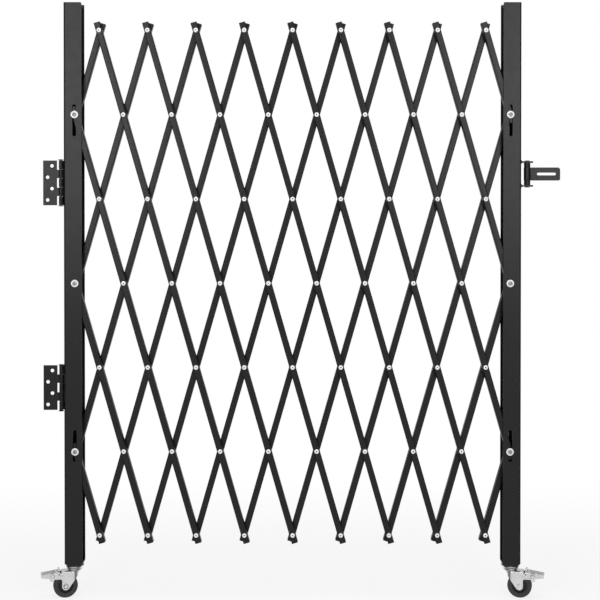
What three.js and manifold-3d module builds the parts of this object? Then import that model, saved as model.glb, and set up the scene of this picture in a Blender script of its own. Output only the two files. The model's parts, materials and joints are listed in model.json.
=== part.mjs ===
// Folding security gate: two channel posts, a riveted scissor lattice, hinges, hasp and two casters.
// Millimetres, X to the right, Y to the back, Z up. The floor is at zero height.
import * as THREE from 'three';
import { mergeVertices } from 'three/addons/utils/BufferGeometryUtils.js';
import Module from 'manifold-3d';

const wasm = await Module();
wasm.setup();

// Whole gate
const gateHeight = 1524;
const runningGap = 0.4;
const seatGap = 0.3;
const cutOverrun = 5;
const joinOverlap = 0.8;

// Posts
const postFace = 46;
const postDepth = 46;
const postWall = 2;
const postCornerRadius = 3;
const postLowerEnd = 88;
const postFloorThickness = 4;
const postTopCorner = 2;
const boltLineInset = 28;
const middleHeight = 807.5;
const slotWidth = 10;
const slotEndRoom = 4;

// Lattice
const columns = 18;
const rows = 6;
const pivotPitch = 224;
const restAngle = THREE.MathUtils.degToRad(16);
const narrowAngle = THREE.MathUtils.degToRad(2.8);
const wideAngle = THREE.MathUtils.degToRad(31);
const barWidth = 16;
const barDepth = 18.8;
const barWall = 1.6;
const barBend = 1.5;
const barTail = 21;
const barFacingGap = 0.6;
const boltRowStep = 2;

// Rivets
const rivetShankRadius = 3;
const rivetHeadRadius = 5.6;
const rivetCrownRadius = 3.6;
const rivetHeadHeight = 1.5;
const rivetTailHeight = 1.4;

// Pivot bolts
const boltRadius = 4;
const boltHeadRadius = 5.8;
const boltHeadHeight = 4;
const boltWasherRadius = 10;
const boltWasherThickness = 1.5;
const boltNutRadius = 7.5;
const boltNutHeight = 6.5;
const boltEndOverhang = 2;

// Hinges
const hingeUpperHeight = 1064;
const hingeLowerHeight = 541;
const leafHeight = 114.3;
const leafWidth = 34.4;
const leafThickness = 3;
const leafCornerRadius = 1.5;
const knuckleCount = 5;
const knuckleRadius = 6.5;
const knuckleToLeaf = 4.8;
const hingePinRadius = 3;
const hingePinHeadHeight = 2.4;
const leafHoleRadius = 4.5;
const leafHoleCount = 4;
const leafHoleSpacing = 29;
const leafHoleNearInset = 12.2;
const leafHoleFarInset = 23.4;

// Hasp
const haspHeight = 1087;
const earSpan = 61;
const earThickness = 4;
const earReach = 32;
const earHalfDepth = 12;
const haspPinReach = 17;
const haspPinRadius = 5;
const haspPinEnd = 3;
const haspPinHeadRadius = 6.5;
const haspBehindFront = 15;
const haspCollarRadius = 8.1;
const strapHeight = 33.5;
const strapThickness = 3;
const strapKnuckleRadius = 8.7;
const strapReach = 84.4;
const strapCornerRadius = 6;
const strapSlotLength = 50;
const strapSlotHeight = 8;
const strapSlotEndMargin = 10.7;

// Casters
const wheelRadius = 31;
const tyreWidth = 22;
const tyreShoulder = 4;
const tyreSideStep = 1.5;
const hubRadius = 19.5;
const hubWidth = 20;
const casterTrail = 24;
const casterTurn = THREE.MathUtils.degToRad(15);
const plugRadius = 22.4;
const plugThickness = 5.2;
const cupRadius = 24;
const cupLowRadius = 20.2;
const cupLip = 1.8;
const cupThroatRadius = 18.4;
const cupHeight = 8.5;
const cupShell = 3;
const raceRadius = 17;
const crownRadius = 19;
const crownRim = 2.6;
const crownTaper = 9;
const crownThickness = 5.4;
const yokeDrop = 3.2;
const stemRadius = 5;
const stemHeadRadius = 7;
const stemHeadHeight = 3.6;
const stemNutRadius = 9;
const stemNutHeight = 8;
const stemOverhang = 3;
const forkWall = 2.5;
const forkInnerWidth = 25;
const forkNoseReach = 10;
const forkBossRadius = 9.5;
const forkArmFillet = 4.75;
const forkArchHeight = 50;
const forkNoseDrop = 3;
const forkArmTilt = THREE.MathUtils.degToRad(30);
const axleRadius = 4;
const axleHeadRadius = 6.5;
const axleHeadHeight = 3;
const brakePivotOut = 57;
const brakePivotHeight = 58;
const brakeBossRadius = 8;
const brakePinRadius = 3;
const brakePinHeadRadius = 5;
const brakePinHeadHeight = 2;
const housingReach = 38.6;
const housingLength = 5.8;
const housingHeight = 2.4;
const housingWidth = 20;
const crownSlotWidth = 3.6;
const crownSlotDrop = 5;
const pedalTip = 86;
const pedalHeel = 45;
const pedalTop = 69.9;
const pedalSlope = 5.6;
const pedalPlate = 2.5;
const pedalSkirt = 9;
const pedalCheek = 2.5;
const pedalPivotEye = 6.5;
const shoeDrop = 13.5;
const shoeFace = 1.5;
const shoeDepth = 8;
const shoeHeight = 5;

// Facets
const hexSides = 6;
const rodSides = 8;
const washerSides = 12;
const roundSides = 16;
const wheelSides = 24;
const arcSteps = 3;

// Values that follow from the sizes above
const halfPost = postDepth / 2;
const halfCell = pivotPitch * Math.sin(restAngle);
const rowRise = pivotPitch * Math.cos(restAngle);
const gateWidth = 2 * boltLineInset + columns * halfCell;
const leftFace = -gateWidth / 2;
const middleRow = rows / 2;
const barBack = barFacingGap / 2;
const barFront = barBack + barDepth;
const boltReach = boltRowStep * pivotPitch;
const slotNear = boltReach * Math.cos(wideAngle) - slotEndRoom;
const slotFar = boltReach * Math.cos(narrowAngle) + slotEndRoom;
const knuckleHeight = leafHeight / knuckleCount;
const forkOuter = forkInnerWidth / 2 + forkWall;

// Radius of a faceted bore in which a faceted rod of the given radius turns freely
function bore(radius, sides = rodSides) {
  return (radius + runningGap) / Math.cos(Math.PI / sides);
}

// Finishes
function finish(color, roughness, metalness) {
  return new THREE.MeshStandardMaterial({ color, roughness, metalness });
}
const blackCoat = () => finish(0x35363a, 0.45, 0.2);
const zincPlate = () => finish(0xc9cbcd, 0.3, 0.9);
const blackRubber = () => finish(0x232324, 0.85, 0);
const blackPlastic = () => finish(0x1b1b1c, 0.6, 0);

// Solids from three.js geometries
function manifoldOf(geometry, reversed) {
  const triangles = new Uint32Array(geometry.index.array);
  if (reversed) {
    for (let i = 0; i < triangles.length; i += 3) {
      [triangles[i], triangles[i + 1]] = [triangles[i + 1], triangles[i]];
    }
  }
  const vertProperties = new Float32Array(geometry.getAttribute('position').array);
  return new wasm.Manifold(new wasm.Mesh({ numProp: 3, vertProperties, triVerts: triangles }));
}

function solidFrom(geometry) {
  geometry.deleteAttribute('normal');
  geometry.deleteAttribute('uv');
  const merged = mergeVertices(geometry);
  const solid = manifoldOf(merged, false);
  return solid.volume() < 0 ? manifoldOf(merged, true) : solid;
}

function geometryFrom(solid) {
  const mesh = solid.getMesh();
  const geometry = new THREE.BufferGeometry();
  geometry.setAttribute('position', new THREE.BufferAttribute(mesh.vertProperties, 3));
  geometry.setIndex(new THREE.BufferAttribute(mesh.triVerts, 1));
  geometry.computeVertexNormals();
  return geometry;
}

function joined(first, ...others) {
  return others.reduce((sum, other) => sum.add(other), first);
}

function cutBy(first, ...others) {
  return others.reduce((rest, other) => rest.subtract(other), first);
}

// Outlines as lists of points
function arc(centreX, centreY, radius, from, to, steps) {
  const points = [];
  for (let i = 0; i <= steps; i += 1) {
    const angle = from + ((to - from) * i) / steps;
    points.push([centreX + radius * Math.cos(angle), centreY + radius * Math.sin(angle)]);
  }
  return points;
}

function circle(centreX, centreY, radius, sides) {
  return arc(centreX, centreY, radius, 0, 2 * Math.PI, sides).slice(0, sides);
}

function rectangle(x0, x1, y0, y1) {
  return [[x0, y0], [x1, y0], [x1, y1], [x0, y1]];
}

function roundedRectangle(x0, x1, y0, y1, radius) {
  const quarter = Math.PI / 2;
  return [
    ...arc(x1 - radius, y0 + radius, radius, -quarter, 0, arcSteps),
    ...arc(x1 - radius, y1 - radius, radius, 0, quarter, arcSteps),
    ...arc(x0 + radius, y1 - radius, radius, quarter, 2 * quarter, arcSteps),
    ...arc(x0 + radius, y0 + radius, radius, 2 * quarter, 3 * quarter, arcSteps),
  ];
}

function shapeOf(points) {
  return new THREE.Shape(points.map(([x, y]) => new THREE.Vector2(x, y)));
}

// Prisms and turned pieces. An outline along Y is given as X and Z.
function prismZ(points, low, high) {
  const geometry = new THREE.ExtrudeGeometry(shapeOf(points), { depth: high - low, bevelEnabled: false });
  geometry.translate(0, 0, low);
  return solidFrom(geometry);
}

function prismY(points, front, back) {
  const geometry = new THREE.ExtrudeGeometry(shapeOf(points), { depth: back - front, bevelEnabled: false });
  geometry.rotateX(Math.PI / 2);
  geometry.translate(0, back, 0);
  return solidFrom(geometry);
}

function rodZ(x, y, radius, low, high, sides = rodSides) {
  return prismZ(circle(x, y, radius, sides), low, high);
}

function rodY(x, z, radius, front, back, sides = rodSides) {
  return prismY(circle(x, z, radius, sides), front, back);
}

function turnedZ(profile, sides) {
  const points = [...profile, profile[0]].map(([r, h]) => new THREE.Vector2(r, h));
  const geometry = new THREE.LatheGeometry(points, sides);
  geometry.rotateX(Math.PI / 2);
  return solidFrom(geometry);
}

function turnedY(profile, sides) {
  const points = [...profile, profile[0]].map(([r, h]) => new THREE.Vector2(r, h));
  return solidFrom(new THREE.LatheGeometry(points, sides));
}

const gate = new THREE.Group();

function addPiece(parent, name, solid, material) {
  const mesh = new THREE.Mesh(geometryFrom(solid), material);
  mesh.name = name;
  parent.add(mesh);
  return mesh;
}

// A post with its outer face at zero and its open side towards positive X
function postOutline() {
  const r = postCornerRadius;
  const quarter = Math.PI / 2;
  return [
    [postFace, -halfPost + postWall],
    [postWall, -halfPost + postWall],
    [postWall, halfPost - postWall],
    [postFace, halfPost - postWall],
    [postFace, halfPost],
    ...arc(r, halfPost - r, r, quarter, 2 * quarter, arcSteps),
    ...arc(r, -halfPost + r, r, 2 * quarter, 3 * quarter, arcSteps),
    [postFace, -halfPost],
  ];
}

function slotOutline(low, high) {
  const r = slotWidth / 2;
  return [
    ...arc(boltLineInset, high, r, 0, Math.PI, 2 * arcSteps),
    ...arc(boltLineInset, low, r, Math.PI, 2 * Math.PI, 2 * arcSteps),
  ];
}

function postSolid() {
  const back = halfPost + cutOverrun;
  const channel = prismZ(postOutline(), postLowerEnd, gateHeight);
  const floorEdge = halfPost - postWall + joinOverlap;
  const floorPlate = prismZ(
    rectangle(postWall - joinOverlap, postFace, -floorEdge, floorEdge),
    postLowerEnd,
    postLowerEnd + postFloorThickness,
  );
  const corner = [
    [postFace - postTopCorner, gateHeight],
    [postFace, gateHeight - postTopCorner],
    [postFace + cutOverrun, gateHeight - postTopCorner],
    [postFace + cutOverrun, gateHeight + cutOverrun],
    [postFace - postTopCorner, gateHeight + cutOverrun],
  ];
  return cutBy(
    joined(channel, floorPlate),
    prismY(corner, -back, back),
    rodZ(postFace / 2, 0, bore(stemRadius), postLowerEnd - cutOverrun, postLowerEnd + cutOverrun),
    rodY(boltLineInset, middleHeight, bore(boltRadius), -back, back),
    prismY(slotOutline(middleHeight + slotNear, middleHeight + slotFar), -back, back),
    prismY(slotOutline(middleHeight - slotFar, middleHeight - slotNear), -back, back),
  );
}

function earSolid(low) {
  const y = haspBehindFront - halfPost;
  const outline = [
    [-joinOverlap, y - earHalfDepth],
    ...arc(earReach - earHalfDepth, y, earHalfDepth, -Math.PI / 2, Math.PI / 2, 2 * arcSteps),
    [-joinOverlap, y + earHalfDepth],
  ];
  const hole = rodZ(haspPinReach, y, bore(haspPinRadius), low - cutOverrun, low + cutOverrun);
  return cutBy(prismZ(outline, low, low + earThickness), hole);
}

function addPosts() {
  const left = addPiece(gate, 'left_post', postSolid(), blackCoat());
  left.position.x = leftFace;
  const turned = geometryFrom(postSolid());
  turned.rotateZ(Math.PI);
  const lowEar = haspHeight - earSpan / 2;
  const ears = [lowEar, lowEar + earSpan].map((middle) => earSolid(middle - earThickness / 2));
  const right = joined(solidFrom(turned), ...ears);
  addPiece(gate, 'right_post', right, blackCoat()).position.x = -leftFace;
}

// Lattice bars hang along their own Z axis from their top pivot, with their webs to the front
function barOutline(side) {
  const half = barWidth / 2;
  const outer = side < 0 ? -barFront : barBack;
  const inner = outer + barWall;
  const edge = outer + barDepth;
  const bend = outer + barBend;
  return [
    [half, edge],
    [half, bend],
    [half - barBend, outer],
    [barBend - half, outer],
    [-half, bend],
    [-half, edge],
    [barWall - half, edge],
    [barWall - half, inner],
    [half - barWall, inner],
    [half - barWall, edge],
  ];
}

function rivetSolid(z) {
  const height = rivetHeadHeight + joinOverlap;
  const head = new THREE.CylinderGeometry(rivetHeadRadius, rivetCrownRadius, height, rodSides);
  head.translate(0, joinOverlap - barFront - height / 2, z);
  const shank = rodY(0, z, rivetShankRadius, -barFront, barBack + barWall + rivetTailHeight, hexSides);
  return joined(solidFrom(head), shank);
}

function barSolid(side, pivots) {
  const length = (pivots.length - 1) * pivotPitch;
  const bar = prismZ(barOutline(side), -length - barTail, barTail);
  const edge = barFront + cutOverrun;
  return pivots.reduce((solid, onPost, i) => {
    const z = -i * pivotPitch;
    if (onPost) {
      return solid.subtract(rodY(0, z, bore(boltRadius), -edge, edge));
    }
    if (side < 0) {
      return solid.add(rivetSolid(z));
    }
    return solid.subtract(rodY(0, z, bore(rivetShankRadius, hexSides), -edge, edge, hexSides));
  }, bar);
}

function nodePlace(column, row) {
  return new THREE.Vector3(
    leftFace + boltLineInset + column * halfCell,
    0,
    middleHeight + (middleRow - row) * rowRise,
  );
}

function addBar(name, side, startColumn, step) {
  const nodes = [];
  for (let row = 0; row <= rows; row += 1) {
    const column = startColumn + step * row;
    if (column >= 0 && column <= columns) {
      nodes.push([column, row]);
    }
  }
  const pivots = nodes.map(([column]) => column === 0 || column === columns);
  const mesh = addPiece(gate, name, barSolid(side, pivots), blackCoat());
  mesh.position.copy(nodePlace(...nodes[0]));
  mesh.rotation.y = -step * restAngle;
}

function addLattice() {
  const perSide = (columns + rows) / 2;
  for (let i = 1; i <= perSide; i += 1) {
    const number = String(i).padStart(2, '0');
    addBar(`front_bar_${number}`, -1, 2 * i - 1 - rows, 1);
    addBar(`rear_bar_${number}`, 1, 2 * i - 1, -1);
  }
}

// Pivot bolts through the posts, with their washers and nuts
function boltSolid() {
  const face = halfPost + seatGap;
  const washer = face + boltWasherThickness;
  const nut = washer + boltNutHeight;
  return joined(
    rodY(0, 0, boltRadius, -washer - joinOverlap, nut + boltEndOverhang),
    rodY(0, 0, boltHeadRadius, -washer - boltHeadHeight, -washer + joinOverlap),
    rodY(0, 0, boltWasherRadius, -washer, -face, washerSides),
    rodY(0, 0, boltWasherRadius, face, washer, washerSides),
    rodY(0, 0, boltNutRadius, washer - joinOverlap, nut, hexSides),
  );
}

function addBolts() {
  const boltRows = { upper: middleRow - boltRowStep, middle: middleRow, lower: middleRow + boltRowStep };
  for (const [post, column] of [['left', 0], ['right', columns]]) {
    for (const [place, row] of Object.entries(boltRows)) {
      const bolt = addPiece(gate, `${post}_bolt_${place}`, boltSolid(), zincPlate());
      bolt.position.copy(nodePlace(column, row));
    }
  }
}

// Hinge leaves around a pin on the Z axis. The wall leaf lies along negative X.
function leafSolid(first) {
  const back = knuckleRadius;
  const front = knuckleRadius - leafThickness;
  const near = -knuckleRadius - knuckleToLeaf;
  const far = near - leafWidth;
  const half = leafHeight / 2;
  let leaf = prismY(roundedRectangle(far, near, -half, half, leafCornerRadius), front, back);
  for (let k = first; k < knuckleCount; k += 2) {
    const low = -half + k * knuckleHeight + seatGap / 2;
    const high = low + knuckleHeight - seatGap;
    leaf = joined(
      leaf,
      rodZ(0, 0, knuckleRadius, low, high, washerSides),
      prismY(rectangle(near - joinOverlap, 0, low, high), front, back),
    );
  }
  const holes = [];
  for (let i = 0; i < leafHoleCount; i += 1) {
    const inset = i % 2 === 0 ? leafHoleFarInset : leafHoleNearInset;
    const height = (i - (leafHoleCount - 1) / 2) * leafHoleSpacing;
    holes.push(rodY(near - inset, height, leafHoleRadius, front - cutOverrun, back + cutOverrun));
  }
  return cutBy(leaf, rodZ(0, 0, bore(hingePinRadius), -leafHeight, leafHeight), ...holes);
}

function hingePinSolid() {
  const half = leafHeight / 2 + seatGap;
  const end = half + hingePinHeadHeight;
  return joined(
    rodZ(0, 0, hingePinRadius, -end, end),
    rodZ(0, 0, knuckleRadius, half, end, washerSides),
    rodZ(0, 0, knuckleRadius, -end, -half, washerSides),
  );
}

function addHinges() {
  for (const [place, height] of [['upper', hingeUpperHeight], ['lower', hingeLowerHeight]]) {
    const hinge = new THREE.Group();
    hinge.position.set(leftFace - seatGap - knuckleRadius, -halfPost, height);
    gate.add(hinge);
    addPiece(hinge, `wall_leaf_${place}`, leafSolid(1), blackCoat());
    const flipped = geometryFrom(leafSolid(0));
    flipped.rotateZ(-Math.PI / 2);
    addPiece(hinge, `post_leaf_${place}`, solidFrom(flipped), blackCoat());
    addPiece(hinge, `hinge_pin_${place}`, hingePinSolid(), blackCoat());
  }
}

// Hasp strap around its pin, which is on the Z axis
function strapSolid() {
  const half = strapHeight / 2;
  const front = -strapThickness / 2;
  const back = strapThickness / 2;
  const slotHalf = strapSlotHeight / 2;
  const slotEnd = strapReach - strapSlotEndMargin - slotHalf;
  const slotStart = slotEnd + strapSlotHeight - strapSlotLength;
  const quarter = Math.PI / 2;
  const corner = strapCornerRadius;
  const outline = [
    [0, half],
    [0, -half],
    ...arc(strapReach - corner, corner - half, corner, -quarter, 0, arcSteps),
    ...arc(strapReach - corner, half - corner, corner, 0, quarter, arcSteps),
  ];
  const slot = [
    ...arc(slotEnd, 0, slotHalf, -quarter, quarter, 2 * arcSteps),
    ...arc(slotStart, 0, slotHalf, quarter, 3 * quarter, 2 * arcSteps),
  ];
  return cutBy(
    joined(prismY(outline, front, back), rodZ(0, 0, strapKnuckleRadius, -half, half, washerSides)),
    prismY(slot, front - cutOverrun, back + cutOverrun),
    rodZ(0, 0, bore(haspPinRadius), -strapHeight, strapHeight),
  );
}

function haspPinSolid() {
  const strapEdge = strapHeight / 2 + seatGap;
  const earEdge = (earSpan - earThickness) / 2 - seatGap;
  const earTop = (earSpan + earThickness) / 2 + seatGap;
  const end = earTop + haspPinEnd;
  return joined(
    rodZ(0, 0, haspPinRadius, -end, end),
    rodZ(0, 0, haspCollarRadius, strapEdge, earEdge),
    rodZ(0, 0, haspCollarRadius, -earEdge, -strapEdge),
    rodZ(0, 0, haspPinHeadRadius, earTop, end),
    rodZ(0, 0, haspPinHeadRadius, -end, -earTop),
  );
}

function addHasp() {
  const hasp = new THREE.Group();
  hasp.position.set(haspPinReach - leftFace, haspBehindFront - halfPost, haspHeight);
  gate.add(hasp);
  addPiece(hasp, 'hasp_strap', strapSolid(), blackCoat());
  addPiece(hasp, 'hasp_pin', haspPinSolid(), blackCoat());
}

// Caster with its swivel axis on Z. The wheel trails towards negative X.
const plugTop = postLowerEnd - seatGap;
const cupTop = plugTop - plugThickness - seatGap;
const cupBottom = cupTop - cupHeight;
const raceTop = cupTop - cupShell - seatGap;
const crownTop = cupBottom - 2 * seatGap;
const crownBottom = crownTop - crownThickness;
const yokeTop = crownTop - yokeDrop;
const stemHole = bore(stemRadius);
const housingFar = -housingReach - housingLength;

function plugSolid() {
  return cutBy(
    rodZ(0, 0, plugRadius, plugTop - plugThickness, plugTop, roundSides),
    rodZ(0, 0, stemHole, plugTop - plugThickness - cutOverrun, plugTop + cutOverrun),
  );
}

function cupSolid() {
  const roof = cupTop - cupShell;
  return turnedZ(
    [
      [stemHole, roof],
      [cupThroatRadius, roof],
      [cupThroatRadius, cupBottom],
      [cupLowRadius, cupBottom],
      [cupRadius, cupTop - cupLip],
      [cupRadius, cupTop],
      [stemHole, cupTop],
    ],
    roundSides,
  );
}

function stemSolid() {
  const headTop = crownBottom - seatGap;
  const headBottom = headTop - stemHeadHeight;
  const nutLow = postLowerEnd + postFloorThickness + seatGap;
  const nutHigh = nutLow + stemNutHeight;
  return joined(
    rodZ(0, 0, stemRadius, headBottom, nutHigh + stemOverhang),
    rodZ(0, 0, stemHeadRadius, headBottom, headTop, hexSides),
    rodZ(0, 0, stemNutRadius, nutLow, nutHigh, hexSides),
  );
}

function forkPlan(half) {
  const nose = forkNoseReach - (forkOuter - half);
  const far = -brakePivotOut - brakeBossRadius - cutOverrun;
  return [
    [far, -half],
    ...arc(nose - half, 0, half, -Math.PI / 2, Math.PI / 2, 2 * arcSteps),
    [far, half],
  ];
}

function forkProfile() {
  const throat = -casterTrail - forkBossRadius - forkArmFillet;
  const shelf = brakePivotHeight - brakeBossRadius - forkArmFillet;
  const noseLow = crownBottom - forkNoseDrop;
  const half = Math.PI;
  return [
    ...arc(-casterTrail, wheelRadius, forkBossRadius, half, 2 * half - forkArmTilt, 2 * arcSteps),
    [forkNoseReach / 2, forkArchHeight + forkArmFillet],
    [forkNoseReach, noseLow],
    [forkNoseReach + cutOverrun, noseLow],
    [forkNoseReach + cutOverrun, yokeTop],
    [housingFar, yokeTop],
    ...arc(-brakePivotOut, brakePivotHeight, brakeBossRadius, half / 2, half + half / 2, 2 * arcSteps),
    ...arc(throat, shelf, forkArmFillet, half / 2, 0, arcSteps),
  ];
}

function forkSolid() {
  const wide = forkOuter + cutOverrun;
  const inner = forkInnerWidth / 2;
  const yoke = prismZ(forkPlan(forkOuter), 0, crownTop).intersect(prismY(forkProfile(), -wide, wide));
  const crown = turnedZ(
    [
      [0, crownTop - crownRim - crownTaper],
      [forkNoseReach, crownTop - crownRim - crownTaper],
      [crownRadius, crownTop - crownRim],
      [crownRadius, crownTop],
      [0, crownTop],
    ],
    roundSides,
  );
  const hollow = prismZ(forkPlan(inner), -cutOverrun, crownBottom);
  const armGap = prismZ(
    rectangle(-pedalTip, housingFar, -inner, inner),
    -cutOverrun,
    crownTop + cutOverrun,
  );
  const housing = prismZ(
    rectangle(housingFar, -housingReach, -housingWidth / 2, housingWidth / 2),
    yokeTop - joinOverlap,
    crownTop + housingHeight,
  );
  const race = rodZ(0, 0, raceRadius, crownTop - joinOverlap, raceTop, roundSides);
  const crownSlot = prismZ(
    rectangle(-housingReach, crownSlotWidth - housingReach, -wide, wide),
    yokeTop - crownSlotDrop,
    crownTop,
  );
  return cutBy(
    joined(cutBy(yoke.add(crown), hollow, armGap, crownSlot), housing, race),
    rodZ(0, 0, stemHole, crownBottom - cutOverrun, raceTop + cutOverrun),
    rodY(-casterTrail, wheelRadius, bore(axleRadius), -wide, wide),
    rodY(-brakePivotOut, brakePivotHeight, bore(brakePinRadius), -wide, wide),
  );
}

function axleSolid() {
  const face = forkOuter + seatGap;
  return joined(
    rodY(0, 0, axleRadius, -face - joinOverlap, face + axleHeadHeight + joinOverlap),
    rodY(0, 0, axleHeadRadius, -face - axleHeadHeight, -face, hexSides),
    rodY(0, 0, axleHeadRadius, face, face + axleHeadHeight, hexSides),
  );
}

function brakePinSolid() {
  const face = forkOuter + seatGap;
  return joined(
    rodY(0, 0, brakePinRadius, -face - joinOverlap, face + joinOverlap),
    rodY(0, 0, brakePinHeadRadius, -face - brakePinHeadHeight, -face),
    rodY(0, 0, brakePinHeadRadius, face, face + brakePinHeadHeight),
  );
}

function hubSolid() {
  const half = hubWidth / 2;
  const hole = bore(axleRadius, wheelSides);
  return turnedY([[hole, -half], [hubRadius, -half], [hubRadius, half], [hole, half]], wheelSides);
}

function tyreSolid() {
  const half = tyreWidth / 2;
  const inner = (hubRadius + seatGap) / Math.cos(Math.PI / wheelSides);
  const web = half - tyreSideStep;
  const lip = (wheelRadius + inner) / 2;
  return turnedY(
    [
      [inner, -web],
      [lip, -half],
      [wheelRadius - tyreShoulder / 2, -half],
      [wheelRadius, -half + tyreShoulder],
      [wheelRadius, half - tyreShoulder],
      [wheelRadius - tyreShoulder / 2, half],
      [lip, half],
      [inner, web],
    ],
    wheelSides,
  );
}

// Pedal about its pin, which is on the Y axis
function pedalSolid() {
  const half = forkInnerWidth / 2 - seatGap;
  const top = pedalTop - brakePivotHeight;
  const skirtLow = top - pedalSkirt;
  const tipTop = top - pedalSlope;
  const tipLow = tipTop - pedalSkirt;
  const tip = brakePivotOut - pedalTip;
  const heel = brakePivotOut - pedalHeel;
  const shoeRight = shoeFace - joinOverlap;
  const cheek = [
    [tip + pedalPlate, tipTop - joinOverlap],
    [tip + pedalPlate, tipLow],
    [-pedalPivotEye, -pedalPivotEye],
    [shoeFace - pedalPivotEye, -shoeDrop],
    [shoeRight, -shoeDrop],
    [shoeRight, -pedalPivotEye],
    ...arc(0, 0, pedalPivotEye, -Math.PI / 4, Math.PI / 4, arcSteps),
    [heel, skirtLow],
    [heel, top - joinOverlap],
  ];
  const tread = prismY(
    [
      [tip, tipTop - pedalPlate],
      [heel, top - pedalPlate],
      [heel, top],
      [tip, tipTop],
    ],
    -half,
    half,
  );
  const tipLip = prismY(rectangle(tip, tip + pedalPlate, tipLow, tipTop), -half, half);
  const shoeOutline = rectangle(shoeFace - shoeDepth, shoeFace, -shoeDrop, shoeHeight - shoeDrop);
  const shoe = prismY(shoeOutline, -half, half);
  return cutBy(
    joined(
      tread,
      tipLip,
      shoe,
      prismY(cheek, -half, -half + pedalCheek),
      prismY(cheek, half - pedalCheek, half),
    ),
    rodY(0, 0, bore(brakePinRadius), -half - cutOverrun, half + cutOverrun),
  );
}

function addCaster(side, face, inward, turn) {
  const swivel = new THREE.Group();
  swivel.position.x = face + (inward * postFace) / 2;
  gate.add(swivel);
  addPiece(swivel, `${side}_foot_plug`, plugSolid(), blackPlastic());
  addPiece(swivel, `${side}_swivel_cup`, cupSolid(), zincPlate());
  addPiece(swivel, `${side}_stem`, stemSolid(), zincPlate());
  const caster = new THREE.Group();
  caster.rotation.z = turn;
  swivel.add(caster);
  addPiece(caster, `${side}_fork`, forkSolid(), zincPlate());
  const axle = [-casterTrail, 0, wheelRadius];
  const pivot = [-brakePivotOut, 0, brakePivotHeight];
  addPiece(caster, `${side}_axle`, axleSolid(), zincPlate()).position.set(...axle);
  addPiece(caster, `${side}_wheel_hub`, hubSolid(), blackPlastic()).position.set(...axle);
  addPiece(caster, `${side}_tyre`, tyreSolid(), blackRubber()).position.set(...axle);
  addPiece(caster, `${side}_brake_pedal`, pedalSolid(), zincPlate()).position.set(...pivot);
  addPiece(caster, `${side}_brake_pin`, brakePinSolid(), zincPlate()).position.set(...pivot);
}

addPosts();
addLattice();
addBolts();
addHinges();
addHasp();
addCaster('left', leftFace, 1, casterTurn);
addCaster('right', -leftFace, -1, Math.PI - casterTurn);

// The origin is on the floor, under the middle of the whole outline
gate.updateMatrixWorld(true);
const outline = new THREE.Box3().setFromObject(gate, true);
const centre = outline.getCenter(new THREE.Vector3());
gate.position.set(-centre.x, -centre.y, -outline.min.z);

export default gate;
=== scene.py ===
import json
import math

import bmesh
import bpy
from mathutils import Matrix, Vector


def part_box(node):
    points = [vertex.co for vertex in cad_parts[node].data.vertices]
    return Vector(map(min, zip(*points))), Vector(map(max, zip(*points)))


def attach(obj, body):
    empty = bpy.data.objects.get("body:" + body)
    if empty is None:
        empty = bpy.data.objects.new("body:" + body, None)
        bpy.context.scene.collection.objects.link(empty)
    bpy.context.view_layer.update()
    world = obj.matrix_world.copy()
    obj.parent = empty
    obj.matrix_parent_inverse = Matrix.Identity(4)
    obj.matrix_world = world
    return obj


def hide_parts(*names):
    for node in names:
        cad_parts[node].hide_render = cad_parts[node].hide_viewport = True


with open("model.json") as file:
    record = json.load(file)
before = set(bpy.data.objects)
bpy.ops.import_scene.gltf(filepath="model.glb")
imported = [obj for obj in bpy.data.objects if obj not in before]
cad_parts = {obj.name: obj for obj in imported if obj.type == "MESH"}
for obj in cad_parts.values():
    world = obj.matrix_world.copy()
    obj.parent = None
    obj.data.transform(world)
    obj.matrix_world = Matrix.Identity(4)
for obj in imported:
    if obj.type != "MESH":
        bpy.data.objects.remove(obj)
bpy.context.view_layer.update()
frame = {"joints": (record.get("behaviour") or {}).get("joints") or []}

# Metres, X to the right, Y to the back, Z up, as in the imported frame
joints = {joint["name"]: joint for joint in frame["joints"]}
turn = 2 * math.pi
overrun = 0.005
seat_gap = 0.0003
bore_gap = 0.0004
tiny = 1e-6

# The share of a full rounding that keeps two rounded corners from meeting in one point
full_round = 0.999


def middle(node):
    low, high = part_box(node)
    return (low + high) / 2


def joint_place(name):
    return Vector(joints[name]["pos_m"])


# Lattice places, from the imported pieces
post_low, post_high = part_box("left_post")
gate_y = (post_low.y + post_high.y) / 2
half_post = (post_high.y - post_low.y) / 2
left_face = post_low.x
post_width = post_high.x - post_low.x
lattice_origin = middle("left_bolt_middle")
lattice_end = middle("right_bolt_middle")
columns = 18
rows = 6
bolt_rows = 4
row_rise = (middle("left_bolt_upper").z - middle("left_bolt_lower").z) / bolt_rows
half_cell = (lattice_end.x - lattice_origin.x) / columns
pivot_pitch = math.hypot(row_rise, half_cell)
rest_angle = math.atan2(half_cell, row_rise)
fold_limits = joints["lattice_fold"]["range_deg"]
closed_angle, open_angle = [rest_angle + math.radians(limit) for limit in fold_limits]
bolt_line = lattice_origin.x - left_face
right_face = lattice_end.x + bolt_line


def node_place(column, row):
    x = lattice_origin.x + column * half_cell
    return Vector((x, gate_y, lattice_origin.z + (rows / 2 - row) * row_rise))


# Mesh tools
def verts_of(made):
    return [item for item in made["geom"] if isinstance(item, bmesh.types.BMVert)]


def edges_of(made):
    return [item for item in made["geom"] if isinstance(item, bmesh.types.BMEdge)]


def wire(bm, points, closed=False):
    """A row of vertices joined by edges."""
    verts = [bm.verts.new(point) for point in points]
    pairs = list(zip(verts, verts[1:]))
    if closed:
        pairs.append((verts[-1], verts[0]))
    return verts, [bm.edges.new(pair) for pair in pairs]


def pull(bm, edges, vector):
    """Walls drawn from edges along a vector, and the new edges at their far side."""
    made = bmesh.ops.extrude_edge_only(bm, edges=edges)
    bmesh.ops.translate(bm, verts=verts_of(made), vec=vector)
    return edges_of(made)


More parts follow.
